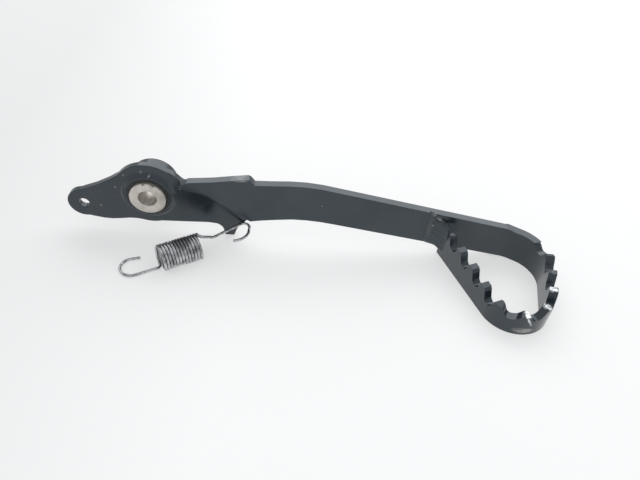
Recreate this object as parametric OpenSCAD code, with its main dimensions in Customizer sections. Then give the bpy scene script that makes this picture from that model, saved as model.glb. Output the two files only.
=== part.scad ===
// Rear brake pedal of a motorbike: a lever plate with a pivot tube, and a flat steel arm
// that is bent round at its far end into a toothed toe loop.
// Millimetres, +Z up, X along the arm to the toe, Y from the rider's side to the engine.
// The origin lies on the pivot axis, in the front face of the lever plate.

/* [Pivot] */
// Outer diameter of the sleeve that the pivot bolt clamps
sleeve_od = 20; // [18:0.5:21]
// Bore of the sleeve, for the pivot bolt
bore_d = 10; // [8:0.5:12]
// Distance from the plate's front face to the sleeve's front end
sleeve_front = 4; // [3:0.5:6]
// Distance from the plate's front face to the sleeve's rear end
sleeve_rear = 17.5; // [17:0.5:24]
// Radial clearance between sleeve and tube
running_clearance = 0.03; // [0.02:0.01:0.08]
// Radial thickness of the pivot tube outside the seals
tube_lip = 1.4; // [1:0.1:2.5]
// Distance from the plate's front face to the tube's front end
tube_front = 2; // [1.5:0.25:2.5]
// Distance from the plate's front face to the tube's rear end
tube_rear = 16.5; // [12:0.5:17]
// Length of each dust seal
seal_len = 1.8; // [1.5:0.1:2.5]
// Radial thickness of each dust seal
seal_wall = 1.25; // [1:0.05:1.5]
// Radial gap between seal lip and sleeve
seal_gap = 0.35; // [0.3:0.05:0.5]

/* [Lever plate] */
// Thickness of the lever plate
plate_t = 4; // [3:0.5:5]
// Width of the plate's head beyond the tube
head_margin = 6.5; // [5:0.5:8]
// Distance from pivot to clevis hole along X
clevis_x = 37.3; // [34:0.1:42]
// Distance of the clevis hole below the pivot
clevis_drop = 9; // [6:0.5:12]
// Radius of the plate's end round the clevis hole
clevis_end_r = 9; // [7:0.2:10]
// Diameter of the clevis hole
clevis_d = 6; // [5:0.5:8]
// Width of the spring lug at its foot
lug_w = 5.4; // [4:0.2:7]

/* [Arm] */
// Thickness of the arm's strip
strip_t = 4.5; // [4:0.25:5]
// Height of the arm's lower corner above the foot plane
arm_corner_h = 15.4; // [14:0.2:17]
// Height of the foot plane below the pivot
foot_drop = 26.4; // [25:0.1:28]
// Height of the stop tab above the arm's top edge
tab_h = 3.6; // [2:0.2:5]

/* [Toe loop] */
// Where the strip starts to bend, along X
bend_x = 203; // [195:0.5:210]
// Centreline radius of the outer bend
bend_r = 20.65; // [18:0.05:24]
// Angle of the outer bend
bend_a = 103; // [100:0.5:106]
// Straight length between the two bends
mid_len = 19.6; // [15:0.1:24]
// Centreline radius of the near bend
nose_r = 16.95; // [15:0.05:19]
// Angle of the near bend
nose_a = 146; // [143:0.5:148]
// Height of the tooth tips below the pivot, midway round the loop
crest_drop = 8.6; // [7:0.1:10]
// Fall of the tooth tips toward the rider's side, in degrees
crest_fall = 7.1; // [4:0.1:9]
// Fall of the tooth tips toward the toe, in degrees
crest_dip = 2.1; // [0:0.1:4]
// Distance from the start of the bend to the first tooth
first_tooth = 30.5; // [28:0.1:33]
// Distance from one tooth to the next
tooth_pitch = 12.54; // [11.5:0.01:13]
// Depth of the gaps between the teeth
gap_depth = 6.6; // [5:0.1:7.5]
// Radius at the bottom of each gap
gap_r = 3; // [2.5:0.1:3.3]
// Width of each tooth at its tip
tooth_top = 4; // [2:0.2:5]

/* [Spring] */
// Wire diameter of the return spring
wire_d = 1.6; // [1.4:0.1:1.8]
// Outer diameter of the coil
coil_od = 15.25; // [13:0.25:16]
// Space between two turns
coil_gap = 0.15; // [0.1:0.05:0.3]
// Number of turns in the coil
coil_turns = 13; // [11:1:14]
// Direction of the coil seen from above
coil_turned = 30; // [25:1:35]
// Radius of the free hook
hook_r = 6.4; // [5.5:0.1:7]

/* [Hidden] */
$fn = 96;
through = 1;            // how far a cutter passes beyond a face
black = [0.13, 0.14, 0.15];
steel = [0.78, 0.76, 0.72];
rubber = [0.07, 0.07, 0.07];
foot_z = -foot_drop;
front_y = -strip_t;
seat_r = sleeve_od / 2 + seal_gap + seal_wall;
tube_od = 2 * (seat_r + tube_lip);
head_r = tube_od / 2 + head_margin;
weld_leg = 2.3;
teeth = 10;
pad_centre = [200, -30];

// A point at radius r and angle a round c.
function polar(c, r, a) = c + r * [cos(a), sin(a)];
// Points of an arc round c from angle a0 to angle a1, in n steps.
function arc(c, r, a0, a1, n) = [for (i = [0:n]) polar(c, r, a0 + (a1 - a0) * i / n)];
// Turns a flat drawing in X and Z into a slab from y0 to y1.
module slab(y0, y1) {
    translate([0, y1, 0]) rotate([90, 0, 0]) linear_extrude(height = y1 - y0) children();
}
// A ring about the pivot axis from y0 to y1.
module ring(ro, ri, y0, y1) {
    rotate([-90, 0, 0]) translate([0, 0, y0]) difference() {
        cylinder(r = ro, h = y1 - y0);
        translate([0, 0, -through]) cylinder(r = ri, h = y1 - y0 + 2 * through);
    }
}

// The lever plate: round head, neck to the clevis end, and a tail that runs under the arm
// and down into the spring lug.
lug_x = 41;
clevis_c = [-clevis_x, -clevis_drop];
module plate_neck() {
    neck_top = [[-41.2, -1.5], [-35, 1.3], [-28.2, 4.2], [-20.9, 8.3], [-14.5, 12.6], [-9.5, 16.2]];
    neck_low = [[-3, -19], [-9, -18.2], [-13, -18.2], [-18, -19], [-23, -19.6],
                [-28, -19.4], [-34, -18.3], [-38, -17.4]];
    polygon(concat(neck_top, [[0, 0]], neck_low));
}
module plate_tail() {
    polygon(concat(
        [[0, 0], [10.4, 16.3], [13.2, 15.4], [16, 13.2], [18.6, 10.4], [21, 9.04], [54, 9.5]],
        arc([54, 5], 4.5, 80, 0, 4),
        [[57.5, -10], [52.5, -16], [50, -18.4], [48.2, -21.4], [lug_x + lug_w, foot_z],
         [lug_x, foot_z]],
        arc([lug_x - 6, foot_z + 2.7], 5.6, 0, 80, 5),
        [[32.5, -17.8], [3, -18.9]]));
}
module lever_plate() color(black) difference() {
    union() {
        slab(0, plate_t) circle(r = head_r);
        slab(0, plate_t) translate(clevis_c) circle(r = clevis_end_r);
        slab(0, plate_t) plate_neck();
        slab(0, plate_t) plate_tail();
    }
    slab(-through, plate_t + through) circle(d = tube_od);
    slab(-through, plate_t + through) translate(clevis_c) circle(d = clevis_d);
}

// The arm's side view, from its pointed lap on the plate to the start of the bend.
tab_x = 57;
bend_low = foot_z + 1.3;
far_rise = 1.2;
arm_corner = [56.5, foot_z + arm_corner_h];
module arm_outline() {
    tab_top = [[20.5, 12], [23, 13.4], [36, 14.9], [tab_x - 8, 17.2], [tab_x - 0.6, 14.6 + tab_h],
               [tab_x + 0.8, 17.6], [tab_x + 3, 14.7]];
    top_edge = [[68, 15.1], [78, 15.8], [87, 15.8], [96, 14.9], [bend_x, crest(place(0)) + far_rise]];
    low_edge = [[bend_x, bend_low], [103, -9.1], [96, -8.1], [88, -7.5], [80, -7.5], [70, -8.7],
                [62, -9.9]];
    lap_edge = [[54.4, -9.9], [52, -7.4], [48, -4.6], [41.5, -0.3], [35.8, 3.2], [33.5, 5.2],
                [30, 6.6], [24.5, 7.2], [20, 8.6], [17.6, 9.8], [17.8, 11]];
    polygon(concat(tab_top, top_edge, low_edge, [arm_corner], lap_edge));
}

// The strip's centreline in plan, as turtle steps: a bend, a straight, a bend and a straight.
bend_c = [bend_x, front_y / 2 - bend_r];
bend_len = bend_r * bend_a * PI / 180;
mid_dir = -bend_a;
mid_a = polar(bend_c, bend_r, 90 - bend_a);
mid_b = polar(mid_a, mid_len, mid_dir);
nose_c = polar(mid_b, nose_r, mid_dir - 90);
nose_len = nose_r * nose_a * PI / 180;
near_dir = mid_dir - nose_a;
near_a = polar(nose_c, nose_r, near_dir + 90);
near_len = (front_y - near_a[1]) / sin(near_dir);
s_mid = bend_len;
s_nose = s_mid + mid_len;
s_near = s_nose + nose_len;
function deg(s, r) = s / r * 180 / PI;
// Place and heading of the centreline at distance s from the start of the bend.
function heading(s) =
    s < s_mid ? -deg(s, bend_r)
    : s < s_nose ? mid_dir
    : s < s_near ? mid_dir - deg(s - s_nose, nose_r)
    : near_dir;
function place(s) =
    s < s_mid ? polar(bend_c, bend_r, 90 + heading(s))
    : s < s_nose ? polar(mid_a, s - s_mid, mid_dir)
    : s < s_near ? polar(nose_c, nose_r, heading(s) + 90)
    : polar(near_a, s - s_near, near_dir);
// Height of the tooth tips over a place in plan.
function crest(p) = -crest_drop + (p[1] - pad_centre[1]) * tan(crest_fall)
    - (p[0] - pad_centre[0]) * tan(crest_dip);

// The strip round the loop, standing on the foot plane. side is 1 for its outer wall and -1
// for its inner wall. Its end runs a little into the arm.
strip_h = 12 - foot_z;
function wall_end(side) = let (p = polar(nose_c, nose_r + side * strip_t / 2, near_dir + 90))
    polar(p, (front_y + 1 - p[1]) / sin(near_dir), near_dir);
function wall(side) = concat(
    arc(bend_c, bend_r + side * strip_t / 2, 90, 90 - bend_a, 34),
    arc(nose_c, nose_r + side * strip_t / 2, mid_dir + 90, near_dir + 90, 48),
    [wall_end(side)]);
function reversed(v) = [for (i = [len(v) - 1:-1:0]) v[i]];
module loop_strip() translate([0, 0, foot_z]) linear_extrude(height = strip_h)
    polygon(concat(wall(1), reversed(wall(-1))));
// One gap between two teeth: a round bottom that flares to the tooth tips, cut square
// through the strip.
module tooth_gap(s) {
    p = place(s);
    flare = (tooth_pitch - tooth_top) / 2;
    side = 20;
    translate([p[0], p[1], crest(p)]) rotate([0, 0, heading(s)])
        translate([0, strip_t, 0]) rotate([90, 0, 0]) linear_extrude(height = 2 * strip_t)
            polygon(concat(arc([0, gap_r - gap_depth], gap_r, -180 + side, -side, 8),
                [[flare - 0.5, -1.9], [flare - 0.1, -0.6], [flare + 0.7, 0.2], [flare + 0.7, 4],
                 [-flare - 0.7, 4], [-flare - 0.7, 0.2], [-flare + 0.1, -0.6], [-flare + 0.5, -1.9]]));
}
// Everything above the tooth tips. The near end keeps a taller last tooth for its weld.
split_x = 195;
module above_crest(x0, x1, profile) {
    lean = tan(crest_dip);
    multmatrix([[1, 0, 0, 0], [0, 1, 0, 0], [-lean, 0, 1, pad_centre[0] * lean]])
        translate([x0, 0, 0]) rotate([90, 0, 90]) linear_extrude(height = x1 - x0)
            polygon(profile);
}
function tip_z(y) = crest([pad_centre[0], y]);
module crest_cut() {
    near_y = -90;
    near_rise = 1.9;
    above_crest(split_x, 240, [[near_y, tip_z(near_y)], [-17, tip_z(-17)],
                               [-13, tip_z(-13) + far_rise], [5, tip_z(5) + far_rise],
                               [5, 40], [near_y, 40]]);
    above_crest(140, split_x, [[near_y, tip_z(near_y)], [-9.5, tip_z(-9.5)],
                               [front_y, tip_z(front_y) + near_rise], [5, tip_z(5) + near_rise],
                               [5, 40], [near_y, 40]]);
}
module toe_loop() difference() {
    loop_strip();
    crest_cut();
    slab(-20, through) polygon([[bend_x - 5, foot_z - 1], [bend_x - 5, bend_low],
                                [bend_x, bend_low], [bend_x + 8, foot_z], [bend_x + 8, foot_z - 1]]);
    for (i = [0:teeth - 1]) tooth_gap(first_tooth + (i - 0.5) * tooth_pitch);
}
module pedal_arm() color(black) {
    slab(front_y, 0) arm_outline();
    toe_loop();
}

// Pivot tube, with a counterbore at each end for a dust seal.
module pivot_tube() color(black) difference() {
    ring(tube_od / 2, sleeve_od / 2 + running_clearance, -tube_front, tube_rear);
    ring(seat_r, 1, -tube_front - through, -tube_front + seal_len);
    ring(seat_r, 1, tube_rear - seal_len, tube_rear + through);
}
module pivot_sleeve() color(steel) rotate([-90, 0, 0]) rotate_extrude() {
    edge = 0.4;
    ri = bore_d / 2;
    ro = sleeve_od / 2;
    polygon([[ri, -sleeve_front + edge], [ri + edge, -sleeve_front], [ro - edge, -sleeve_front],
             [ro, -sleeve_front + edge], [ro, sleeve_rear - edge], [ro - edge, sleeve_rear],
             [ri + edge, sleeve_rear], [ri, sleeve_rear - edge]]);
}
module dust_seal(y0) color(rubber) ring(seat_r, seat_r - seal_wall, y0, y0 + seal_len);
module front_dust_seal() dust_seal(-tube_front);
module rear_dust_seal() dust_seal(tube_rear - seal_len);

// A hollow fillet of weld round the tube, between y (at the plate) and y + rise.
module fillet_ring(y, rise) color(black) rotate([-90, 0, 0]) rotate_extrude() {
    r = tube_od / 2;
    polygon([[r, y], [r + weld_leg, y], [r + 0.45 * weld_leg, y + 0.4 * rise], [r, y + rise]]);
}
module tube_front_weld() fillet_ring(0, -tube_front + 0.2);
module tube_rear_weld() fillet_ring(plate_t, weld_leg);

// Weld along the plate's top edge, behind the arm.
module arm_seam_weld() color(black) translate([23, 0, 9.15]) rotate([0, -0.8, 0])
    rotate([90, 0, 90]) linear_extrude(height = 30)
        polygon([[0, 0.05], [2.6, 0.05], [1.2, 1.2], [0, 2.8]]);

// Weld that fills the outer corner where the loop's end meets the arm.
toe_weld_w = 9.6;
module toe_weld() color(black) {
    tip = place(s_near + near_len);
    corner = tip - [strip_t / 2 / sin(near_dir), 0] - [0.03, 0.03];
    down = polar(corner, 8, near_dir + 180);
    intersection() {
        slab(front_y - 12, front_y) polygon([[corner[0] - toe_weld_w, 2.8], [corner[0], -2.2], [corner[0] + 4, -4.2],
            [corner[0] + 4, -22.5], [corner[0] - 4, -19.4], [corner[0] - toe_weld_w, -17.4]]);
        translate([0, 0, foot_z]) linear_extrude(height = 40) polygon([corner, down,
            corner + [-1.6, -4.4], corner + [-5, -2.9], corner + [0.9 - toe_weld_w, -1.8],
            corner + [-toe_weld_w, 0]]);
    }
}

// Return spring: close coils and two long hooks, lying in front of the lug. The coils are
// ridges round one tube, and each hook's wire has eight flats.
coil_r = (coil_od - wire_d) / 2;
coil_step = wire_d + coil_gap;
coil_len = coil_turns * coil_step;
coil_z = foot_z + coil_od / 2;
coil_left = [10.2, -30.2];
coil_right = polar(coil_left, coil_len, coil_turned);
function unit(v) = v / norm(v);
function along(path, i) = let (n = len(path) - 1)
    unit(path[min(i + 1, n)] - path[max(i - 1, 0)]);
// Points beside a path in plan, at distance w to its left, or to its right when w is negative.
function beside(path, w) = [for (i = [0:len(path) - 1])
    path[i] + w * [-along(path, i)[1], along(path, i)[0]]];
module band(path, w, z0, z1) translate([0, 0, z0]) linear_extrude(height = z1 - z0)
    polygon(concat(beside(path, w), reversed(beside(path, -w))));
module level_wire(path, z) {
    half = wire_d / 2;
    flat = 0.41 * half;
    inner = concat([path[0] + 0.15 * along(path, 0)],
        [for (i = [1:len(path) - 2]) path[i]],
        [path[len(path) - 1] - 0.15 * along(path, len(path) - 1)]);
    band(path, half, z - flat, z + flat);
    band(inner, (half + flat) / 2, z - (half + flat) / 2, z + (half + flat) / 2);
    band(inner, flat, z - half, z + half);
}
module coils() {
    ro = coil_od / 2;
    ri = ro - wire_d;
    half = wire_d / 2;
    outside = [for (i = [0:coil_turns]) each [
        [ro - 0.4, i * coil_step - half], [ro - 0.1, i * coil_step - half * 0.6],
        [ro - 0.1, i * coil_step + half * 0.6], [ro - 0.4, i * coil_step + half]]];
    translate([coil_left[0], coil_left[1], coil_z]) rotate([0, 0, coil_turned])
        rotate([0, 90, 0]) rotate_extrude()
            polygon(concat([[ri, -half]], outside, [[ri, coil_len + half]]));
}
module return_spring() color(steel) {
    low = foot_z + wire_d / 2;
    high = coil_z + coil_r;
    lean = -16;
    coils();
    // left hook, flat on the ground plane
    level_wire(concat([coil_left], arc([-5, -31.6], hook_r, -72, -245, 16), [[-2.4, -24.1]]), low);
    // right hook, leaning on the lug
    dip = [37, -14.4];
    level_wire(concat([dip - [0.6, 0.5]], arc([52.6, -4.2], 3.3, 125, 0, 10),
        arc([46.4, -6.6], 9.6, -12, -80, 8)), lean);
    drop = [dip[0] - coil_right[0], dip[1] - coil_right[1], lean - high];
    translate([coil_right[0], coil_right[1], high])
        rotate([0, acos(drop[2] / norm(drop)), atan2(drop[1], drop[0])])
            cylinder(d = wire_d * 0.96, h = norm(drop), $fn = 8);
}

lever_plate();
pedal_arm();
pivot_tube();
pivot_sleeve();
front_dust_seal();
rear_dust_seal();
tube_front_weld();
tube_rear_weld();
arm_seam_weld();
toe_weld();
return_spring();
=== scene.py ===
# Looks of the rear brake pedal: black painted steel, turned sleeve, bright spring wire.
import math

import bmesh
import bpy
from mathutils import Matrix, Vector, noise


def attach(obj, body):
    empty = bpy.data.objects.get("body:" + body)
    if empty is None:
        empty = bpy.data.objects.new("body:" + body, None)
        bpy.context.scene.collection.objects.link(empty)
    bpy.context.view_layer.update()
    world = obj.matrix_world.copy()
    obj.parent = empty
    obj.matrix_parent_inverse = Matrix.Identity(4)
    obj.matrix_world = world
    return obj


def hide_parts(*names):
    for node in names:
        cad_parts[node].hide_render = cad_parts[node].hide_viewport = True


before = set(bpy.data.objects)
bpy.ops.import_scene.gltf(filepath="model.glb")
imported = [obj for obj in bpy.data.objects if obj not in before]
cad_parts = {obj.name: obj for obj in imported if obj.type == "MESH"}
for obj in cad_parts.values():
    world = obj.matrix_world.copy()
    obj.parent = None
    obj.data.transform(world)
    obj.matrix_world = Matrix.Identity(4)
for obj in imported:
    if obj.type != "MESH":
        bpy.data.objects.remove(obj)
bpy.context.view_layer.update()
MM = 0.001


# ---------------------------------------------------------------- shader helpers
class Tree:
    """A material, and short calls for the shader nodes that make it."""

    def __init__(self, name):
        self.mat = bpy.data.materials.new(name)
        self.mat.use_nodes = True
        self.nodes = self.mat.node_tree.nodes
        self.links = self.mat.node_tree.links
        self.bsdf = self.nodes["Principled BSDF"]
        self.place = self.node("ShaderNodeTexCoord").outputs["Object"]

    def node(self, kind, **settings):
        made = self.nodes.new(kind)
        for key, value in settings.items():
            setattr(made, key, value)
        return made

    def put(self, socket, value):
        """Links the socket to another's output, or sets it to a constant."""
        if hasattr(value, "is_output"):
            self.links.new(value, socket)
        else:
            socket.default_value = value

    def noise(self, scale, detail=4.0, rough=0.55, at=None):
        n = self.node("ShaderNodeTexNoise")
        self.put(n.inputs["Vector"], at or self.place)
        self.put(n.inputs["Scale"], scale)
        self.put(n.inputs["Detail"], detail)
        self.put(n.inputs["Roughness"], rough)
        return n.outputs["Fac"]

    def math(self, what, a, b=0.0, clamp=False):
        m = self.node("ShaderNodeMath", operation=what, use_clamp=clamp)
        self.put(m.inputs[0], a)
        self.put(m.inputs[1], b)
        return m.outputs[0]

    def ramp(self, fac, lo, hi, out_lo=0.0, out_hi=1.0):
        m = self.node("ShaderNodeMapRange", clamp=True)
        self.put(m.inputs["Value"], fac)
        self.put(m.inputs["From Min"], lo)
        self.put(m.inputs["From Max"], hi)
        self.put(m.inputs["To Min"], out_lo)
        self.put(m.inputs["To Max"], out_hi)
        return m.outputs["Result"]

    def blend(self, fac, a, b):
        """Colour a where fac is 0 and colour b where it is 1, by the node's colour sockets."""
        m = self.node("ShaderNodeMix", data_type="RGBA")
        self.put(m.inputs[0], fac)
        self.put(m.inputs[6], a)
        self.put(m.inputs[7], b)
        return m.outputs[2]

    def near(self, centre, radius, soft):
        """0 outside a ball or ellipsoid (mm), 1 within the share soft of its radius."""
        radii = radius if isinstance(radius, tuple) else (radius,) * 3
        away = self.node("ShaderNodeVectorMath", operation="SUBTRACT")
        self.put(away.inputs[0], self.place)
        away.inputs[1].default_value = [c * MM for c in centre]
        share = self.node("ShaderNodeVectorMath", operation="DIVIDE")
        self.put(share.inputs[0], away.outputs["Vector"])
        share.inputs[1].default_value = [r * MM for r in radii]
        far = self.node("ShaderNodeVectorMath", operation="LENGTH")
        self.put(far.inputs[0], share.outputs["Vector"])
        return self.ramp(far.outputs["Value"], 1, soft)

    def stretched(self, x, y, z):
        """The object's coordinates with each axis scaled, for streaks."""
        v = self.node("ShaderNodeVectorMath", operation="MULTIPLY")
        self.put(v.inputs[0], self.place)
        v.inputs[1].default_value = (x, y, z)
        return v.outputs["Vector"]

    def bump(self, height, strength, distance):
        b = self.node("ShaderNodeBump")
        self.put(b.inputs["Height"], height)
        self.put(b.inputs["Strength"], strength)
        self.put(b.inputs["Distance"], distance * MM)
        return b.outputs["Normal"]


# ---------------------------------------------------------------- measures, in mm and degrees
ARM_FRONT = -4.5            # the arm's front face
FOOT = -26.4                # the lowest point of the set
# the toe loop's centreline in plan: a bend, a straight, a bend and a straight back to the arm
BEND_X, BEND_R, BEND_A = 203, 20.65, 103
MID_LEN = 19.6
NOSE_R, NOSE_A = 16.95, 146
NEAR_LEN = 52
STRIP_REACH = 2.4           # a little more than half the strip's thickness
# the teeth, by distance along the centreline
FIRST_TOOTH, TOOTH_PITCH, TOOTH_DEPTH = 30.5, 12.54, 6.6
FIRST_GAP = 23.5            # where the plain far edge ends
WALL_TOP = 7.8              # how far below the crests the plain wall starts


def polar(c, r, a):
    """The place at distance r and angle a from c."""
    return (c[0] + r * math.cos(math.radians(a)), c[1] + r * math.sin(math.radians(a)))


def loop_place(s):
    """The centreline's place and heading at distance s from the start of the bend."""
    bend_c = (BEND_X, ARM_FRONT / 2 - BEND_R)
    turned = math.degrees(s / BEND_R)
    if turned < BEND_A:
        return polar(bend_c, BEND_R, 90 - turned), -turned
    mid_a = polar(bend_c, BEND_R, 90 - BEND_A)
    left = s - math.radians(BEND_A) * BEND_R
    if left < MID_LEN:
        return polar(mid_a, left, -BEND_A), -BEND_A
    nose_c = polar(polar(mid_a, MID_LEN, -BEND_A), NOSE_R, -BEND_A - 90)
    turned = math.degrees((left - MID_LEN) / NOSE_R)
    if turned < NOSE_A:
        return polar(nose_c, NOSE_R, 90 - BEND_A - turned), -BEND_A - turned
    near_a = polar(nose_c, NOSE_R, 90 - BEND_A - NOSE_A)
    left -= MID_LEN + math.radians(NOSE_A) * NOSE_R
    return polar(near_a, left, -BEND_A - NOSE_A), -BEND_A - NOSE_A


def crest_z(x, y):
    """The height of the plane that holds the tips of the teeth."""
    return -8.6 + (y + 30) * math.tan(math.radians(7.1)) - (x - 200) * math.tan(math.radians(2.1))


def tooth(i, along, across, drop):
    """A place near the tip of tooth i, counted from the far side: shifted along and across the
    strip and down."""
    (x, y), heading = loop_place(FIRST_TOOTH + i * TOOTH_PITCH + along)
    x, y = polar((x, y), across, heading + 90)
    return (x, y, crest_z(x, y) - drop)


def loop_coords(x, y):
    """How far along the loop's centreline a place is, or None where it isn't on the strip."""
    bend_c = (BEND_X, ARM_FRONT / 2 - BEND_R)
    mid_a = polar(bend_c, BEND_R, 90 - BEND_A)
    nose_c = polar(polar(mid_a, MID_LEN, -BEND_A), NOSE_R, -BEND_A - 90)
    bend_len = math.radians(BEND_A) * BEND_R
    nose_len = math.radians(NOSE_A) * NOSE_R

    def on_arc(c, r, first, total):
        turned = (first - math.degrees(math.atan2(y - c[1], x - c[0]))) % 360
        if turned > 359.9:
            turned = 0
        if abs(math.hypot(x - c[0], y - c[1]) - r) < STRIP_REACH and turned <= total + 0.1:
            return math.radians(turned) * r
        return None

    def on_line(a, heading, length):
        ux, uy = polar((0, 0), 1, heading)
        far = (x - a[0]) * ux + (y - a[1]) * uy
        wide = (x - a[0]) * uy - (y - a[1]) * ux
        return far if abs(wide) < STRIP_REACH and -0.1 <= far <= length else None

    far = on_arc(bend_c, BEND_R, 90, BEND_A)
    if far is not None:
        return far
    far = on_line(mid_a, -BEND_A, MID_LEN + 0.1)
    if far is not None:
        return bend_len + far
    far = on_arc(nose_c, NOSE_R, 90 - BEND_A, NOSE_A)
    if far is not None:
        return bend_len + MID_LEN + far
    near_a = polar(nose_c, NOSE_R, 90 - BEND_A - NOSE_A)
    far = on_line(near_a, -BEND_A - NOSE_A, NEAR_LEN)
    return None if far is None else bend_len + MID_LEN + nose_len + far


def smooth(x, lo, hi):
    """A soft step from 0 at lo to 1 at hi."""
    k = min(max((x - lo) / (hi - lo), 0), 1)
    return k * k * (3 - 2 * k)


# ---------------------------------------------------------------- materials
def black_paint(name="black_paint", lumps=0.0):
    """Semi-gloss black, worn where the photo shows it. The welds' paint has lumps."""
    t = Tree(name)
    # slow tone changes and fine dust
    tone = t.ramp(t.noise(38, 3), 0.35, 0.68)
    colour = t.blend(tone, (0.011, 0.016, 0.022, 1), (0.020, 0.027, 0.035, 1))
    dust = t.ramp(t.noise(1300, 2, 0.7), 0.67, 0.79, 0, 0.2)
    colour = t.blend(dust, colour, (0.12, 0.125, 0.13, 1))
    # chips, as centre and radius
    chips = [
        ((-2.3, 0, 15.2), 1.7), ((-8.2, 0, 6.9), 1.3), ((-17.9, 0, 3.8), 1.5),
        ((-28, 0, -9.8), 1.6), ((-13.1, 0, -0.2), 1.6), ((-12.1, 0, 12.5), 1.3),
        ((17.5, 0, 5.2), 1.1), ((96, ARM_FRONT, 3.6), 0.9),
    ]
    scratch = [
        ((1.0, -1, 12.0), 0.55), ((1.5, -1.4, 12.8), 0.55), ((2.0, -1, 13.6), 0.55),
        ((2.4, 0, 14.4), 0.5),
    ]
    # bare metal on the three teeth nearest the toe
    rubbed = [
        (tooth(2, -0.6, -0.8, -2.6), 2.2), (tooth(2, -0.5, 1.0, -2.6), 1.5),
        (tooth(3, -0.6, -0.6, -2), 2.3), (tooth(3, -0.4, 1.2, -2), 1.4),
        (tooth(4, -1.5, -1.0, -0.2), 1.9), (tooth(4, -1.5, 1.0, -0.2), 1.9),
    ]
    # a worn edge that runs down from the nose's tooth, and a scuff at its foot
    rubbed += [((201.9 + 0.62 * k, -62, -13 - 0.95 * k), 0.75) for k in range(7)]
    scuff = t.near((202.4, -62, -23.3), (6.6, 3, 2.3), 0.6)
    along = t.noise(300, 5, 0.7, t.stretched(0.35, 1, 1.3))
    scuff = t.math("MULTIPLY", scuff, t.ramp(along, 0.36, 0.52))
    # thin, greyed paint on the stop tab and on two teeth, and painted highlights along the toe
    # weld's bead: light grey marks in place of its glints
    greyed_and_highlight_patches = [
        ((50.5, -2.5, 17.6), (6.5, 4, 1.9)),
        (tooth(9, -0.8, 0.2, 1.6), (2.4, 2.4, 0.8)), (tooth(1, -0.6, 0.6, -1.8), 1.6),
        # painted highlights on the toe weld's bead: a bright dot and two glints
        ((159.6, -5.4, -4.4), 0.9), ((158.2, -5.6, 3.6), (2.4, 2, 1.6)),
        ((161.8, -5.8, 1.0), (2.8, 2, 1.8)),
    ]
    speck = t.noise(900, 4, 0.65)
    flakes = t.ramp(t.noise(520, 5, 0.7), 0.36, 0.50)

    def zones(marks, soft):
        """1 inside any of the marks."""
        total = None
        for centre, radius in marks:
            zone = t.near(centre, radius, soft)
            total = zone if total is None else t.math("MAXIMUM", total, zone)
        return total

    chip = t.math("ADD", zones(chips, 0.1), t.math("MULTIPLY", speck, 0.6))
    chip = t.ramp(chip, 0.7, 1.25)
    worn = t.math("MULTIPLY", zones(rubbed, 0.45), flakes, clamp=True)
    worn = t.math("MAXIMUM", worn, t.math("MULTIPLY", zones(scratch, 0.4), 0.5))
    streaks = t.ramp(t.noise(420, 4, 0.6, t.stretched(0.4, 1, 1.6)), 0.38, 0.6)
    # greyed paint on the tab and teeth, and the painted highlights on the toe weld's bead
    dull = t.math("MULTIPLY", zones(greyed_and_highlight_patches, 0.6), streaks)
    colour = t.blend(t.math("MULTIPLY", dull, 0.8), colour, (0.33, 0.34, 0.35, 1))
    colour = t.blend(t.math("MULTIPLY", scuff, 0.85), colour, (0.40, 0.385, 0.365, 1))
    colour = t.blend(worn, colour, (0.86, 0.87, 0.88, 1))
    colour = t.blend(chip, colour, (0.15, 0.155, 0.16, 1))
    rough = t.ramp(t.noise(90, 4), 0.3, 0.75, 0.17, 0.27)
    rough = t.math("ADD", rough, t.math("MULTIPLY", dust, 0.7))
    matt = t.math("MULTIPLY", t.math("MAXIMUM", dull, scuff), 0.3)
    rough = t.math("ADD", rough, matt, clamp=True)
    t.put(t.bsdf.inputs["Roughness"], rough)
    t.put(t.bsdf.inputs["Metallic"], t.math("MULTIPLY", worn, 0.85))
    t.put(t.bsdf.inputs["IOR"], 1.62)
    t.put(t.bsdf.inputs["Specular Tint"], (0.84, 0.94, 1.0, 1))
    peel = t.math("ADD", t.noise(300, 3), t.math("MULTIPLY", t.noise(1900, 2), 0.15))
    peel = t.math("SUBTRACT", peel, t.math("MULTIPLY", t.math("MAXIMUM", chip, worn), 0.9))
    if lumps:
        # the weld's lumps, and painted light that makes the toe weld's left flank lighter
        peel = t.math("ADD", peel, t.math("MULTIPLY", t.noise(330, 2, 0.4), lumps))
        painted_flank_light = t.near((157.9, -5.2, -7), (1.6, 3, 11), 0.3)
        colour = t.blend(t.math("MULTIPLY", painted_flank_light, 0.5), colour, (0.075, 0.082, 0.088, 1))
    t.put(t.bsdf.inputs["Base Color"], colour)
    t.put(t.bsdf.inputs["Normal"], t.bump(peel, 0.22, 0.12))
    return t.mat


def radius_about_pivot(t):
    """The distance from the pivot's axis, in metres."""
    flat = t.node("ShaderNodeVectorMath", operation="MULTIPLY")
    t.put(flat.inputs[0], t.place)
    flat.inputs[1].default_value = (1, 0, 1)
    size = t.node("ShaderNodeVectorMath", operation="LENGTH")
    t.put(size.inputs[0], flat.outputs["Vector"])
    return size.outputs["Value"]


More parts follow.
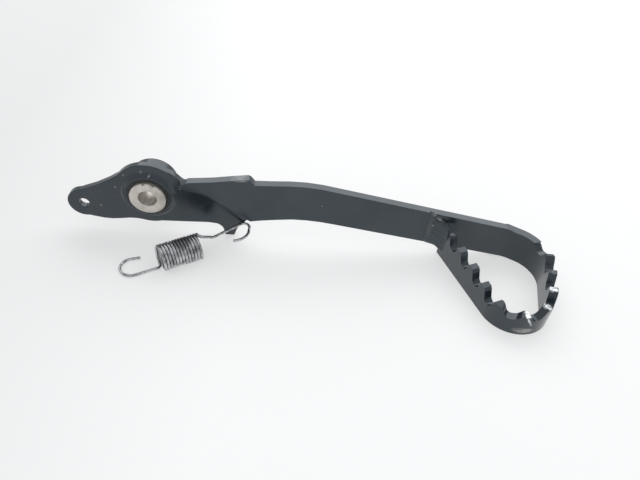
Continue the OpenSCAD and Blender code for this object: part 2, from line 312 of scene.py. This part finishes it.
def turned_steel():
    """The sleeve's dull steel, with the rings that turning leaves and two specks of dirt."""
    t = Tree("turned_steel")
    r = radius_about_pivot(t)
    coarse_pitch, fine_pitch = 0.42 * MM, 0.13 * MM
    rings = t.math("SINE", t.math("MULTIPLY", r, 2 * math.pi / coarse_pitch))
    fine = t.math("SINE", t.math("MULTIPLY", r, 2 * math.pi / fine_pitch))
    groove = t.math("ADD", rings, t.math("MULTIPLY", fine, 0.5))
    stain = t.ramp(t.noise(160, 4), 0.38, 0.7)
    colour = t.blend(stain, (0.70, 0.665, 0.61, 1), (0.50, 0.47, 0.43, 1))
    colour = t.blend(t.ramp(groove, -1.4, 1.4, 0, 0.25), colour, (0.28, 0.26, 0.24, 1))
    dirt = t.math("MAXIMUM", t.near((3.8, -4, 9.2), 1.5, 0.4), t.near((-1.0, -4, 9.9), 1.1, 0.4))
    dirt = t.math("MULTIPLY", dirt, t.ramp(t.noise(900, 4, 0.7), 0.42, 0.5))
    colour = t.blend(dirt, colour, (0.05, 0.045, 0.04, 1))
    t.put(t.bsdf.inputs["Base Color"], colour)
    t.put(t.bsdf.inputs["Metallic"], 0.75)
    t.put(t.bsdf.inputs["Roughness"], t.ramp(stain, 0, 1, 0.34, 0.52))
    t.put(t.bsdf.inputs["Normal"], t.bump(groove, 0.35, 0.03))
    return t.mat


def seal_rubber():
    """Dark matt rubber."""
    t = Tree("seal_rubber")
    tone = t.ramp(t.noise(400, 4), 0.35, 0.7)
    colour = t.blend(tone, (0.016, 0.018, 0.019, 1), (0.035, 0.036, 0.038, 1))
    t.put(t.bsdf.inputs["Base Color"], colour)
    t.put(t.bsdf.inputs["Roughness"], t.ramp(t.noise(250), 0.3, 0.7, 0.4, 0.6))
    t.put(t.bsdf.inputs["Normal"], t.bump(t.noise(1500, 3), 0.3, 0.05))
    return t.mat


def spring_wire():
    """Bright drawn wire with stains, and a painted reflection of the black pedal on the top of the
    coil.
    """
    t = Tree("spring_wire")
    stain = t.ramp(t.noise(300, 5, 0.65), 0.42, 0.7)
    # painted reflection of the black pedal on the coil's upper far side, which the stain mask
    # carries from here on
    painted_reflection = t.near((21, -24, -11.5), (6.5, 6.5, 8), 0.6)
    stain = t.math("MAXIMUM", stain, t.math("MULTIPLY", painted_reflection, 0.9))
    colour = t.blend(stain, (0.53, 0.54, 0.55, 1), (0.13, 0.13, 0.135, 1))
    t.put(t.bsdf.inputs["Base Color"], colour)
    t.put(t.bsdf.inputs["Metallic"], 1.0)
    t.put(t.bsdf.inputs["Roughness"], t.ramp(stain, 0, 1, 0.2, 0.45))
    t.put(t.bsdf.inputs["Normal"], t.bump(t.noise(1800, 3), 0.25, 0.03))
    return t.mat


PAINT = black_paint()
BEAD = black_paint("weld_paint", 1.6)
STEEL = turned_steel()
RUBBER = seal_rubber()
WIRE = spring_wire()


# ---------------------------------------------------------------- pieces
def dress(obj, mat):
    """Gives the object this one material."""
    obj.data.materials.clear()
    obj.data.materials.append(mat)


def shade(obj, angle):
    """Smooth shading, with edges sharper than angle left sharp."""
    for p in obj.data.polygons:
        p.use_smooth = True
    obj.data.set_sharp_from_angle(angle=math.radians(angle))


def lean_teeth(bm):
    """Moves the copy's vertices to the teeth as the photo shows them: tips that rise toward the
    toe, narrower tips and shallower gaps there, and a plain far edge that falls in the bend.
    The stop tab ends a little sooner."""
    for v in bm.verts:
        x, y, z = (c / MM for c in v.co)
        if 55 < x < 60.5 and z > 14:
            # the end of the stop tab
            v.co.x -= 1.1 * MM
        s = loop_coords(x, y)
        below = crest_z(x, y) - z
        if s is None or below > WALL_TOP:
            continue
        # deep is 0 at a tip and 1 at the bottom of a gap
        deep = min(max(below / TOOTH_DEPTH, 0), 1)
        tip = 1 - deep
        if s < FIRST_GAP:
            rise = tip * (-0.2 - 1.4 * smooth(s, 0, 6)) + deep * 2.4
            shift = 0
        else:
            # 1 as far as the nose, 0 on the near strip
            far_side = 1 - smooth(s, 84, 96)
            rise = 0.064 * (x - 196) + far_side * deep
            # the two tips before the nose, the gaps at the nose, and the tips on it and by the arm
            rise += tip * (smooth(s, 46, 52) - smooth(s, 70, 76))
            rise += deep * 1.4 * (smooth(s, 68, 72) - smooth(s, 92, 97))
            # 1 at the tip on the nose
            nose = smooth(s, 74.5, 78.5) - smooth(s, 83.5, 87.5)
            rise -= tip * (0.7 * nose + 0.6 * (smooth(s, 122, 127) - smooth(s, 134, 139)))
            # the far side's tips lose the part that lies past their middle
            phase = (s - FIRST_TOOTH + TOOTH_PITCH / 2) % TOOTH_PITCH - TOOTH_PITCH / 2
            past_tip = min(max(phase / 2, 0), 1)
            shift = far_side * -1.2 * tip ** 2 * past_tip * (1 - smooth(s, 74, 77))
            shift += (1 - far_side) * 0.3 * tip - 0.9 * tip * nose
            if s > 100:
                # the near strip's end stays on the arm
                rise *= 1 - smooth(y, -12, -5)
        (x0, y0), heading = loop_place(s)
        a = math.radians(heading)
        side = (y - y0) * math.cos(a) - (x - x0) * math.sin(a)
        if FIRST_GAP < s < 33:
            # the first tooth's far corner is cut away, more so outside
            first = tip * (1 - smooth(s, 28.5, 33))
            rise -= first * (1.2 if side > 0 else 0.2)
            shift += first * (1.4 if side > 0 else 0.4)
        if shift and y < ARM_FRONT - 0.5:
            (x1, y1), turned = loop_place(s + shift)
            x, y = polar((x1, y1), side, turned + 90)
        v.co = (x * MM, y * MM, (z + rise) * MM)


def baked(obj):
    """A new mesh of the object with its modifiers applied."""
    graph = bpy.context.evaluated_depsgraph_get()
    return bpy.data.meshes.new_from_object(obj.evaluated_get(graph))


def round_walls(obj):
    """Turns the modifiers into mesh and shades the loop's walls as true round bends."""

    def across(s):
        """The wall's own direction at distance s, level and square to the centreline."""
        a = math.radians(loop_place(s)[1] + 90)
        return Vector((math.cos(a), math.sin(a), 0))

    mesh = baked(obj)
    obj.modifiers.clear()
    obj.data = mesh
    normals = [Vector(c.vector) for c in mesh.corner_normals]
    for face in mesh.polygons:
        # only faces that stand upright and lie along the strip
        s = loop_coords(face.center.x / MM, face.center.y / MM)
        if s is None or abs(face.normal.z) > 0.15:
            continue
        side = face.normal.dot(across(s))
        if abs(side) < 0.9:
            continue
        for corner in face.loop_indices:
            v = mesh.vertices[mesh.loops[corner].vertex_index].co
            s = loop_coords(v.x / MM, v.y / MM)
            if s is not None:
                normals[corner] = across(s) * (1 if side > 0 else -1)
    mesh.normals_split_custom_set(normals)


def rounded(node, width, reshape=None):
    """A copy of the CAD node with its sharp edges broken, as paint and deburring leave them."""
    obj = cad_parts[node].copy()
    obj.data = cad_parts[node].data.copy()
    obj.name = node + "_looks"
    # the copy drops the node's own marks and parent
    for key in list(obj.keys()):
        del obj[key]
    obj.parent = None
    bpy.context.scene.collection.objects.link(obj)
    # whole flat faces in place of the CAD's triangles
    bm = bmesh.new()
    bm.from_mesh(obj.data)
    same_place, flat = 0.002 * MM, math.radians(0.5)
    bmesh.ops.remove_doubles(bm, verts=bm.verts, dist=same_place)
    bmesh.ops.dissolve_limit(bm, angle_limit=flat, verts=bm.verts, edges=bm.edges)
    if reshape:
        reshape(bm)
    bm.to_mesh(obj.data)
    bm.free()
    mod = obj.modifiers.new("round", "BEVEL")
    mod.width = width * MM
    mod.segments = 3
    mod.limit_method = "ANGLE"
    mod.angle_limit = math.radians(32)
    mod.use_clamp_overlap = True
    even = obj.modifiers.new("even", "WEIGHTED_NORMAL")
    even.weight = 90
    shade(obj, 180)
    if reshape:
        round_walls(obj)
    dress(obj, PAINT)
    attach(obj, "pedal")
    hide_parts(node)


rounded("lever_plate", 0.45)
rounded("pedal_arm", 0.5, reshape=lean_teeth)
rounded("pivot_tube", 0.35)

for name in ("tube_rear_weld", "arm_seam_weld", "tube_front_weld"):
    dress(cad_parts[name], BEAD)
dress(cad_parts["pivot_sleeve"], STEEL)
for name in ("front_dust_seal", "rear_dust_seal"):
    dress(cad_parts[name], RUBBER)


# ---------------------------------------------------------------- toe weld
def toe_weld():
    """A low run of weld on the arm beside the loop's end, with a rippled bead along its top."""
    left, corner = 157, 166.9
    # the plan: the front from the left to the strip's outer wall, then back inside the arm
    front = [(156.2, 0.05), (156.9, 0.5), (157.9, 0.95), (159.4, 0.95), (161.4, 0.7), (163.2, 0.85),
             (164.8, 1.4), (166.2, 2.3)]
    front = [(x, ARM_FRONT - proud) for x, proud in front]
    front += [polar((corner, ARM_FRONT), k, 180 - BEND_A - NOSE_A) for k in (3.2, 4.0)]
    back = [(x + 0.6 * (x > left), ARM_FRONT + 0.3) for x, _ in reversed(front)]
    ring = front + back
    rows = 26
    bm = bmesh.new()

    def top(x):
        return 4.3 - (x - left) * 0.86 + 0.35 * math.sin(x * 2.1)

    def low(x):
        return -17.6 - (x - left) * 0.12 - (x - left) ** 2 * 0.033

    grid = []
    for j in range(rows + 1):
        v = j / rows
        line = []
        for i, (x, y) in enumerate(ring):
            z = low(x) + (top(x) - low(x)) * v
            p = Vector((x, y, z))
            if i < len(front):
                ends = min(v, 1 - v) * rows / 2
                y += (1 - min(ends, 1)) * min(0.4, ARM_FRONT - y)
                y += 0.5 * noise.noise(p * 0.55) * (0 < i < len(front) - 2)
                y = min(y, ARM_FRONT + 0.2)
            line.append(bm.verts.new((x * MM, y * MM, z * MM)))
        grid.append(line)
    n = len(ring)
    for low_line, high_line in zip(grid, grid[1:]):
        for i in range(n):
            k = (i + 1) % n
            bm.faces.new((low_line[i], low_line[k], high_line[k], high_line[i]))
    for i in range(len(front) - 1):
        k = n - 1 - i
        bm.faces.new((grid[0][i], grid[0][k], grid[0][k - 1], grid[0][i + 1]))
        bm.faces.new((grid[-1][i], grid[-1][i + 1], grid[-1][k - 1], grid[-1][k]))

    # the bead, from the arm's top down along the loop's end
    path = [Vector(p) for p in ((156.4, -4.4, 4.7), (158.3, -4.6, 3.2), (160.6, -4.7, 1.7),
                                (163.2, -4.8, -0.1), (165.7, -5.2, -2.1), (167.9, -6.9, -3.9),
                                (168.9, -9.2, -4.9))]
    rings = []
    count, around = 60, 14
    for j in range(count + 1):
        f = j / count * (len(path) - 1)
        i = min(int(f), len(path) - 2)
        p = path[i].lerp(path[i + 1], f - i)
        ahead = (path[i + 1] - path[i]).normalized()
        out = Vector((0, -1, 0))
        out = (out - ahead * out.dot(ahead)).normalized()
        up = ahead.cross(out)
        ripple = abs(math.sin(j * math.pi / 8))
        taper = min(1, 0.25 + 4 * min(j, count - j) / count)
        r = (0.9 + 0.3 * ripple) * taper
        r *= 1 + 0.25 * noise.noise(p * 0.8)
        rings.append([bm.verts.new((p + r * (math.cos(2 * math.pi * a / around) * out
                                             + math.sin(2 * math.pi * a / around) * up)) * MM)
                      for a in range(around)])
    for one, two in zip(rings, rings[1:]):
        for a in range(around):
            b = (a + 1) % around
            bm.faces.new((one[a], one[b], two[b], two[a]))
    bm.faces.new(list(reversed(rings[0])))
    bm.faces.new(rings[-1])
    bmesh.ops.recalc_face_normals(bm, faces=bm.faces)
    mesh = bpy.data.meshes.new("toe_weld_bead")
    bm.to_mesh(mesh)
    bm.free()
    obj = bpy.data.objects.new("toe_weld_bead", mesh)
    bpy.context.scene.collection.objects.link(obj)
    dress(obj, BEAD)
    shade(obj, 70)
    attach(obj, "pedal")
    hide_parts("toe_weld")


toe_weld()


# ---------------------------------------------------------------- spring
def arc(c, r, a0, a1, n, z):
    """n + 1 points on the level arc about c, from angle a0 to a1."""
    out = []
    for i in range(n + 1):
        a = math.radians(a0 + (a1 - a0) * i / n)
        out.append(Vector((c[0] + r * math.cos(a), c[1] + r * math.sin(a), z)))
    return out


def spring():
    """One round wire: the low hook, the coil, and the hook that leans on the lug."""
    wire, outside, turns, turned = 1.6, 15.25, 13, math.radians(30)
    mean = (outside - wire) / 2
    pitch = wire + 0.15
    axis = Vector((math.cos(turned), math.sin(turned), 0))
    side = Vector((-axis.y, axis.x, 0))
    up = Vector((0, 0, 1))
    start = Vector((10.2, -30.2, FOOT + outside / 2))
    low, lean = FOOT + wire / 2, -16
    path = [Vector((-2.4, -24.1, low))]
    path += arc((-5, -31.6), 6.4, -245, -72, 22, low)
    hook_end, first = path[-1], start - mean * up
    path += [hook_end.lerp(first, k) for k in (0.35, 0.7, 0.92)]
    steps = 40
    for i in range(1, turns * steps + steps // 2):
        a = 2 * math.pi * i / steps
        path.append(start + axis * pitch * (i / steps) * turns / (turns + 0.5)
                    - mean * math.cos(a) * up + mean * math.sin(a) * side)
    path += [Vector((31.4, -17.9, -12.7)), Vector((34.2, -16.1, -14.3)), Vector((37, -14.4, -15.7))]
    bend = Vector((38.6, -12.6, lean))
    tip = arc((52.6, -4.2), 3.3, 125, 0, 12, lean)
    path += [bend, tip[0].lerp(bend, 0.5)] + tip
    path += arc((46.4, -6.6), 9.6, -12, -80, 10, lean)
    curve = bpy.data.curves.new("spring_curve", "CURVE")
    curve.dimensions = "3D"
    curve.bevel_depth = wire / 2 * MM
    curve.bevel_resolution = 5
    curve.use_fill_caps = True
    line = curve.splines.new("POLY")
    line.points.add(len(path) - 1)
    for point, p in zip(line.points, path):
        point.co = (p.x * MM, p.y * MM, p.z * MM, 1)
    holder = bpy.data.objects.new("spring_holder", curve)
    bpy.context.scene.collection.objects.link(holder)
    mesh = baked(holder)
    bpy.data.objects.remove(holder)
    obj = bpy.data.objects.new("spring_coil", mesh)
    bpy.context.scene.collection.objects.link(obj)
    dress(obj, WIRE)
    shade(obj, 60)
    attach(obj, "pedal")
    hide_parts("return_spring")


spring()


# ---------------------------------------------------------------- floor, light, camera
def floor():
    """The pale paper that the pedal lies on, just below its lowest point."""
    mesh = bpy.data.meshes.new("floor")
    s, z = 4.0, (FOOT - 0.02) * MM
    mesh.from_pydata([(-s, -s, z), (s, -s, z), (s, s, z), (-s, s, z)], [], [(0, 1, 2, 3)])
    obj = bpy.data.objects.new("floor", mesh)
    bpy.context.scene.collection.objects.link(obj)
    t = Tree("floor_paper")
    apart = t.node("ShaderNodeSeparateXYZ")
    t.put(apart.inputs[0], t.place)
    # painted shade: the paper grows dimmer toward the left
    pale = t.ramp(apart.outputs["X"], -0.12, 0.05, 0.835, 0.985)
    t.put(t.bsdf.inputs["Base Color"], pale)
    t.put(t.bsdf.inputs["Roughness"], 0.9)
    t.put(t.bsdf.inputs["Specular IOR Level"], 0.1)
    # the camera and gloss see part of the paper as plain white, so its shadows stay faint
    rays = t.node("ShaderNodeLightPath")
    gloss = t.math("MAXIMUM", rays.outputs["Is Glossy Ray"], rays.outputs["Is Transmission Ray"])
    seen = t.math("MAXIMUM", t.math("MULTIPLY", rays.outputs["Is Camera Ray"], 0.52),
                  t.math("MULTIPLY", gloss, 0.8))
    glow = t.node("ShaderNodeEmission")
    t.put(glow.inputs["Color"], pale)
    mix = t.node("ShaderNodeMixShader")
    t.put(mix.inputs[0], seen)
    t.links.new(t.bsdf.outputs[0], mix.inputs[1])
    t.links.new(glow.outputs[0], mix.inputs[2])
    t.links.new(mix.outputs[0], t.nodes["Material Output"].inputs["Surface"])
    dress(obj, t.mat)


def lamp(name, at, look, wide, high, watts):
    """A white area lamp at one place, turned to another."""
    data = bpy.data.lights.new(name, "AREA")
    data.energy = watts
    data.shape = "RECTANGLE"
    data.size = wide
    data.size_y = high
    obj = bpy.data.objects.new(name, data)
    bpy.context.scene.collection.objects.link(obj)
    obj.location = at
    obj.rotation_mode = "QUATERNION"
    obj.rotation_quaternion = (Vector(look) - Vector(at)).to_track_quat("-Z", "Y")


floor()
lamp("key", (0.3, 0.75, 0.68), (0.1, -0.02, 0), 1.9, 0.75, 7.4)

world = bpy.data.worlds.new("studio")
bpy.context.scene.world = world
world.use_nodes = True
sky = world.node_tree.nodes["Background"]
sky.inputs["Color"].default_value = (0.96, 0.98, 1.0, 1)
sky.inputs["Strength"].default_value = 0.72

cam_data = bpy.data.cameras.new("camera")
cam_data.lens = 31.5
cam_data.sensor_width = 36
cam_data.clip_start = 0.01
camera = bpy.data.objects.new("camera", cam_data)
bpy.context.scene.collection.objects.link(camera)
heading, tilt, roll = 3.2958, 42.933, 5.8774
turn = (Matrix.Rotation(math.radians(-heading), 3, "Z")
        @ Matrix.Rotation(math.radians(90 - tilt), 3, "X")
        @ Matrix.Rotation(math.radians(roll), 3, "Z"))
camera.location = (0.083085, -0.242785, 0.200192)
camera.rotation_mode = "QUATERNION"
camera.rotation_quaternion = turn.to_quaternion()
bpy.context.scene.camera = camera
bpy.context.scene.view_settings.view_transform = "Standard"
